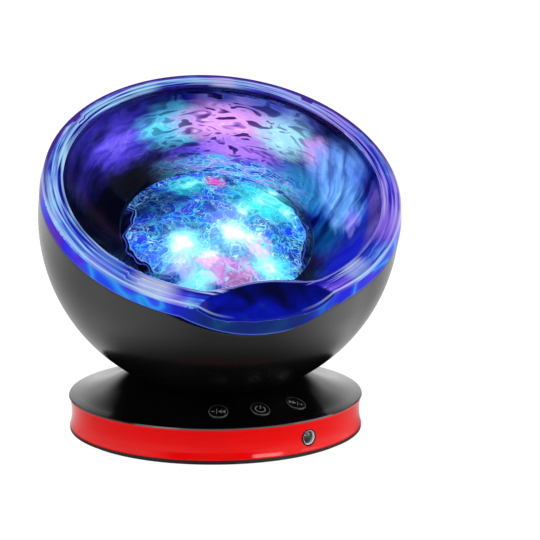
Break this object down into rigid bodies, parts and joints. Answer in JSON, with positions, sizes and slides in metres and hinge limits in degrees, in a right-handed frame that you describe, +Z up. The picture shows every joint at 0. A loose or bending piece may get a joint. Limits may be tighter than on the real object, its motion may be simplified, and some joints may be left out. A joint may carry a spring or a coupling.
{
  "type": "ocean wave projector",
  "caption": "Bowl-shaped lamp that tilts on a round base, with a turning ripple lens under a clear window, an edge-lit clear rim, push keys, a speaker and a power socket.",
  "frame": {"origin": "on the base's axis, at the underside of the foot ring", "axes": "+Z up, -Y towards the bowl's front, +X to the viewer's right from the front"},
  "size_m": [0.15, 0.1448, 0.1455],
  "materials": {
    "black_abs": "satin-gloss moulded",
    "bowl_abs": "satin-gloss moulded",
    "red_abs": "high gloss",
    "key_abs": "satin",
    "dark_abs": "matt",
    "well_abs": "gloss",
    "white_abs": "matt",
    "acetal": "matt",
    "rubber": "matt",
    "steel": "plated",
    "board": "solder mask",
    "lamp_board": "white solder mask",
    "chip": "matt",
    "bezel": "gloss",
    "smoked": "gloss",
    "paper": "matt paper",
    "ferrite": "matt",
    "clear_ring": "gloss",
    "clear_window": "gloss",
    "ripple_acrylic": "gloss",
    "led": "gloss"
  },
  "bodies": {
    "base": {"base_top_cover": "black_abs", "bottom_plate": "black_abs", "base_band": "red_abs", "tilt_cradle": "dark_abs", "tilt_saddle": "acetal", "foot_ring": "rubber", "friction_ring": "rubber", "base_screws": "steel", "board_screws": "steel", "saddle_spring": "steel", "saddle_nut": "steel", "speaker_frame": "steel", "power_socket": "steel", "main_board": "board", "control_chip": "chip", "tact_switches": "chip", "ir_receiver": "chip", "ir_bezel": "bezel", "ir_window": "smoked", "speaker_cone": "paper", "speaker_magnet": "ferrite"},
    "head": {"bowl_shell": "bowl_abs", "rim_ring": "clear_ring", "wave_window": "clear_window", "light_well": "well_abs", "lamp_deck": "white_abs", "deck_screws": "steel", "led_board": "lamp_board", "led_board_screws": "steel", "leds": "led", "motor": "steel", "motor_screws": "steel"},
    "lens_rotor": {"ripple_lens": "ripple_acrylic", "output_shaft": "steel", "output_gear": "acetal", "shaft_clip": "steel"},
    "pinion": {"motor_pinion": "acetal"},
    "minus_key": {"minus_key": "key_abs"},
    "power_key": {"power_key": "key_abs"},
    "plus_key": {"plus_key": "key_abs"}
  },
  "joints": [
    {"name": "head_tilt", "type": "hinge", "parent": "base", "child": "head", "pos_m": [0, -0.0095, 0.0925], "axis": [1, 0, 0], "range_deg": [-11.5, 12.5]},
    {"name": "lens_spin", "type": "hinge", "parent": "head", "child": "lens_rotor", "pos_m": [0, -0.0095, 0.0925], "axis": [0, -0.5225, 0.8526], "continuous": true},
    {"name": "pinion_spin", "type": "hinge", "parent": "head", "child": "pinion", "pos_m": [0, 0.01369, 0.10671], "axis": [0, -0.5225, 0.8526], "continuous": true},
    {"name": "minus_press", "type": "slide", "parent": "base", "child": "minus_key", "axis": [0, 0, -1], "range_m": [0, 0.0007], "stiffness_N_per_m": 1500},
    {"name": "power_press", "type": "slide", "parent": "base", "child": "power_key", "axis": [0, 0, -1], "range_m": [0, 0.0007], "stiffness_N_per_m": 1500},
    {"name": "plus_press", "type": "slide", "parent": "base", "child": "plus_key", "axis": [0, 0, -1], "range_m": [0, 0.0007], "stiffness_N_per_m": 1500}
  ],
  "couplings": [
    {"joint": "pinion_spin", "follows": "lens_spin", "ratio": -3}
  ]
}
